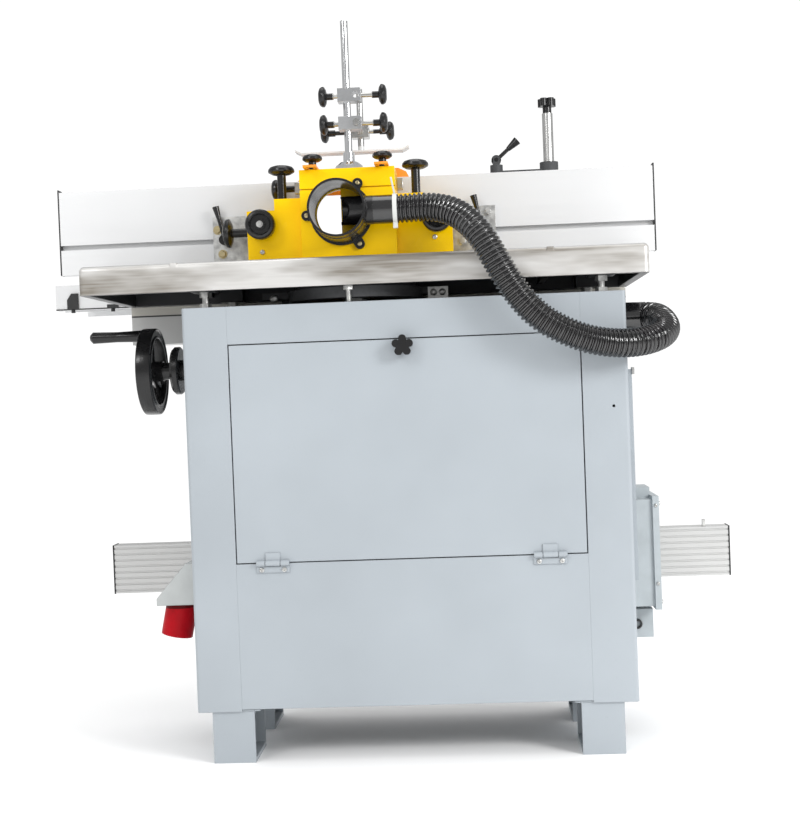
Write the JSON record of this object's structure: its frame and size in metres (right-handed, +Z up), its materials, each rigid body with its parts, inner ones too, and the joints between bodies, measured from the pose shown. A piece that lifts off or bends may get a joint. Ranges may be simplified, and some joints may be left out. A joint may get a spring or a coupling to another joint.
{
  "type": "spindle moulder",
  "caption": "Floor-standing spindle moulder seen from the rear: sheet cabinet, cast table, yellow dust hood with fence, sliding carriage, handwheel lift and dust hose.",
  "frame": {"origin": "on the floor under the middle of the machine's overall box", "axes": "+X to the right as seen from the rear, +Y from the rear towards the operator, +Z up"},
  "size_m": [1.344, 0.6765, 1.326],
  "materials": {
    "cabinet_paint": "smooth light blue-grey paint",
    "door_paint": "smooth light blue-grey paint",
    "hood_yellow": "glossy yellow powder coat",
    "cast_table": "ground top, milled edges",
    "bare_cast": "grey primed casting",
    "bright_steel": "bright turned steel",
    "zinc": "zinc plated",
    "post_chrome": "polished chrome",
    "fence_aluminium": "anodised extrusion",
    "black_knob": "glossy black moulding",
    "hose_black": "ribbed black hose",
    "guard_orange": "orange guard",
    "clamp_grey": "grey clamp block",
    "belt_rubber": "fabric-backed belt",
    "motor_grey": "grey motor paint",
    "box_plastic": "grey box plastic",
    "inlet_plastic": "light grey housing and red shroud",
    "shoe_plastic": "black pressing shoe"
  },
  "bodies": {
    "cabinet": {"left_side_panel": "cabinet_paint", "right_side_panel": "cabinet_paint", "front_panel": "cabinet_paint", "rear_panels": "cabinet_paint", "feet": "cabinet_paint", "door_hinges": "cabinet_paint", "table": "cast_table", "table_rings": "bright_steel", "table_studs": "zinc", "spindle_bracket": "bare_cast", "guide_columns": "bright_steel", "support_rail": "fence_aluminium", "guide_rail": "fence_aluminium", "electrical_box": "box_plastic", "power_inlet": "inlet_plastic", "hood": "hood_yellow", "hood_cover": "hood_yellow", "dust_collar": "black_knob", "press_post": "post_chrome", "dust_hose": "hose_black"},
    "door": {"rear_door": "door_paint"},
    "door_knob": {"door_knob": "black_knob"},
    "lift": {"lift_carriage": "bare_cast", "motor": "motor_grey", "drive_belt": "belt_rubber"},
    "spindle": {"spindle": "bright_steel", "spindle_pulley": "fence_aluminium"},
    "motor_pulley": {"motor_pulley": "fence_aluminium"},
    "lift_screw": {"lift_screw": "bright_steel"},
    "handwheel": {"handwheel": "black_knob", "handwheel_shaft": "bright_steel"},
    "crank_handle": {"crank_handle": "black_knob"},
    "lock_ring": {"lock_ring": "black_knob"},
    "left_carrier": {"left_carrier": "zinc"},
    "right_carrier": {"right_carrier": "zinc"},
    "right_adjuster": {"right_adjuster": "black_knob"},
    "left_fence": {"left_fence": "fence_aluminium"},
    "right_fence": {"right_fence": "fence_aluminium"},
    "left_adjuster": {"left_adjuster": "black_knob"},
    "left_lever": {"left_lever": "black_knob"},
    "right_lever": {"right_lever": "black_knob"},
    "left_lock_knob": {"left_lock_knob": "black_knob"},
    "left_hood_knob": {"left_hood_knob": "black_knob"},
    "right_hood_knob": {"right_hood_knob": "black_knob"},
    "left_guard_knob": {"left_guard_knob": "black_knob"},
    "right_guard_knob": {"right_guard_knob": "black_knob"},
    "side_knob": {"side_knob": "black_knob"},
    "front_guard": {"front_guard": "guard_orange"},
    "upper_clamp": {"upper_clamp": "clamp_grey"},
    "upper_clamp_knobs": {"upper_clamp_knobs": "black_knob"},
    "lower_clamp": {"lower_clamp": "clamp_grey"},
    "lower_clamp_knobs": {"lower_clamp_knobs": "black_knob"},
    "shoe_clamp": {"shoe_clamp": "clamp_grey"},
    "press_shoe": {"press_shoe": "shoe_plastic"},
    "slide": {"slide_carriage": "fence_aluminium", "hold_down_post": "bright_steel"},
    "hold_down_arm": {"hold_down_arm": "bare_cast"},
    "hold_down_lever": {"hold_down_lever": "black_knob"},
    "hold_down_knob": {"hold_down_knob": "black_knob"},
    "switch_knob": {"switch_knob": "black_knob"}
  },
  "joints": [
    {"name": "door_hinge", "type": "hinge", "parent": "cabinet", "child": "door", "pos_m": [0.05, -0.267, 0.355], "axis": [1, 0, 0], "range_deg": [0, 145]},
    {"name": "door_knob_turn", "type": "hinge", "parent": "door", "child": "door_knob", "pos_m": [0.05, -0.262, 0.729], "axis": [0, 1, 0], "range_deg": [-90, 90]},
    {"name": "handwheel_turn", "type": "hinge", "parent": "cabinet", "child": "handwheel", "pos_m": [-0.428, -0.094, 0.704], "axis": [1, 0, 0], "range_deg": [0, 7200]},
    {"name": "spindle_lift", "type": "slide", "parent": "cabinet", "child": "lift", "axis": [0, 0, 1], "range_m": [0, 0.1]},
    {"name": "lift_screw_turn", "type": "hinge", "parent": "cabinet", "child": "lift_screw", "pos_m": [-0.17, -0.094, 0.704], "axis": [0, 0, 1], "range_deg": [-7200, 0]},
    {"name": "crank_handle_turn", "type": "hinge", "parent": "handwheel", "child": "crank_handle", "pos_m": [-0.45, -0.094, 0.772], "axis": [1, 0, 0], "continuous": true},
    {"name": "lock_ring_turn", "type": "hinge", "parent": "cabinet", "child": "lock_ring", "pos_m": [-0.36, -0.094, 0.704], "axis": [1, 0, 0], "range_deg": [0, 60]},
    {"name": "spindle_spin", "type": "hinge", "parent": "lift", "child": "spindle", "pos_m": [-0.04, -0.124, 0.6], "axis": [0, 0, 1], "continuous": true},
    {"name": "motor_spin", "type": "hinge", "parent": "lift", "child": "motor_pulley", "pos_m": [0.19, -0.124, 0.5], "axis": [0, 0, 1], "continuous": true},
    {"name": "left_adjuster_turn", "type": "hinge", "parent": "cabinet", "child": "left_adjuster", "pos_m": [-0.197, -0.229, 0.955], "axis": [0, 1, 0], "range_deg": [-2160, 2160]},
    {"name": "left_carrier_slide", "type": "slide", "parent": "cabinet", "child": "left_carrier", "axis": [0, 1, 0], "range_m": [-0.009, 0.009]},
    {"name": "right_adjuster_turn", "type": "hinge", "parent": "cabinet", "child": "right_adjuster", "pos_m": [0.117, -0.229, 0.955], "axis": [0, 1, 0], "range_deg": [-2160, 2160]},
    {"name": "right_carrier_slide", "type": "slide", "parent": "cabinet", "child": "right_carrier", "axis": [0, 1, 0], "range_m": [-0.009, 0.009]},
    {"name": "left_fence_slide", "type": "slide", "parent": "left_carrier", "child": "left_fence", "axis": [1, 0, 0], "range_m": [-0.06, 0.04]},
    {"name": "right_fence_slide", "type": "slide", "parent": "right_carrier", "child": "right_fence", "axis": [1, 0, 0], "range_m": [-0.04, 0.06]},
    {"name": "left_lever_turn", "type": "hinge", "parent": "left_carrier", "child": "left_lever", "pos_m": [-0.279, -0.14, 0.942], "axis": [0, 1, 0], "range_deg": [-40, 40]},
    {"name": "right_lever_turn", "type": "hinge", "parent": "right_carrier", "child": "right_lever", "pos_m": [0.199, -0.14, 0.942], "axis": [0, 1, 0], "range_deg": [-36, 40]},
    {"name": "left_lock_knob_turn", "type": "hinge", "parent": "cabinet", "child": "left_lock_knob", "pos_m": [-0.24, -0.181, 0.948], "axis": [1, 0, 0], "range_deg": [-180, 180]},
    {"name": "left_hood_knob_turn", "type": "hinge", "parent": "cabinet", "child": "left_hood_knob", "pos_m": [-0.161, -0.194, 1.01], "axis": [0, 0, 1], "range_deg": [-360, 360]},
    {"name": "right_hood_knob_turn", "type": "hinge", "parent": "cabinet", "child": "right_hood_knob", "pos_m": [0.081, -0.194, 1.01], "axis": [0, 0, 1], "range_deg": [-360, 360]},
    {"name": "left_guard_knob_turn", "type": "hinge", "parent": "cabinet", "child": "left_guard_knob", "pos_m": [-0.103, -0.203, 1.06], "axis": [0, 0, 1], "range_deg": [-180, 180]},
    {"name": "right_guard_knob_turn", "type": "hinge", "parent": "cabinet", "child": "right_guard_knob", "pos_m": [0.023, -0.203, 1.06], "axis": [0, 0, 1], "range_deg": [-180, 180]},
    {"name": "side_knob_turn", "type": "hinge", "parent": "cabinet", "child": "side_knob", "pos_m": [-0.15, -0.143, 1.029], "axis": [1, 0, 0], "range_deg": [-180, 180]},
    {"name": "front_guard_slide", "type": "slide", "parent": "cabinet", "child": "front_guard", "axis": [0, 1, 0], "range_m": [0, 0.038]},
    {"name": "upper_clamp_slide", "type": "slide", "parent": "cabinet", "child": "upper_clamp", "axis": [0, 0, 1], "range_m": [-0.01, 0.1]},
    {"name": "upper_clamp_knobs_turn", "type": "hinge", "parent": "upper_clamp", "child": "upper_clamp_knobs", "pos_m": [-0.04, -0.164, 1.19], "axis": [1, 0, 0], "range_deg": [-180, 180]},
    {"name": "lower_clamp_slide", "type": "slide", "parent": "cabinet", "child": "lower_clamp", "axis": [0, 0, 1], "range_m": [-0.008, 0.012]},
    {"name": "lower_clamp_knobs_turn", "type": "hinge", "parent": "lower_clamp", "child": "lower_clamp_knobs", "pos_m": [-0.04, -0.164, 1.139], "axis": [1, 0, 0], "range_deg": [-180, 180]},
    {"name": "shoe_clamp_slide", "type": "slide", "parent": "lower_clamp", "child": "shoe_clamp", "axis": [0, 1, 0], "range_m": [-0.005, 0.04]},
    {"name": "press_shoe_slide", "type": "slide", "parent": "shoe_clamp", "child": "press_shoe", "axis": [0, 0, 1], "range_m": [-0.02, 0.012]},
    {"name": "slide_carriage_slide", "type": "slide", "parent": "cabinet", "child": "slide", "axis": [1, 0, 0], "range_m": [-0.35, 0.35]},
    {"name": "hold_down_arm_slide", "type": "slide", "parent": "slide", "child": "hold_down_arm", "axis": [0, 0, 1], "range_m": [-0.1, 0.05]},
    {"name": "hold_down_lever_turn", "type": "hinge", "parent": "hold_down_arm", "child": "hold_down_lever", "pos_m": [0.236, 0.18, 1.1173], "axis": [0, 1, 0], "range_deg": [-60, 30]},
    {"name": "hold_down_knob_turn", "type": "hinge", "parent": "slide", "child": "hold_down_knob", "pos_m": [0.344, 0.18, 1.22], "axis": [0, 0, 1], "range_deg": [-360, 360]},
    {"name": "switch_knob_turn", "type": "hinge", "parent": "cabinet", "child": "switch_knob", "pos_m": [0.4675, 0.058, 0.39], "axis": [0, 1, 0], "range_deg": [-45, 45]}
  ],
  "couplings": [
    {"joint": "handwheel_turn", "follows": "spindle_lift", "rad_per_m": 1256.6},
    {"joint": "lift_screw_turn", "follows": "spindle_lift", "rad_per_m": -1256.6},
    {"joint": "motor_spin", "follows": "spindle_spin", "ratio": 0.78261},
    {"joint": "left_adjuster_turn", "follows": "left_carrier_slide", "rad_per_m": 4188.8},
    {"joint": "right_adjuster_turn", "follows": "right_carrier_slide", "rad_per_m": 4188.8}
  ]
}
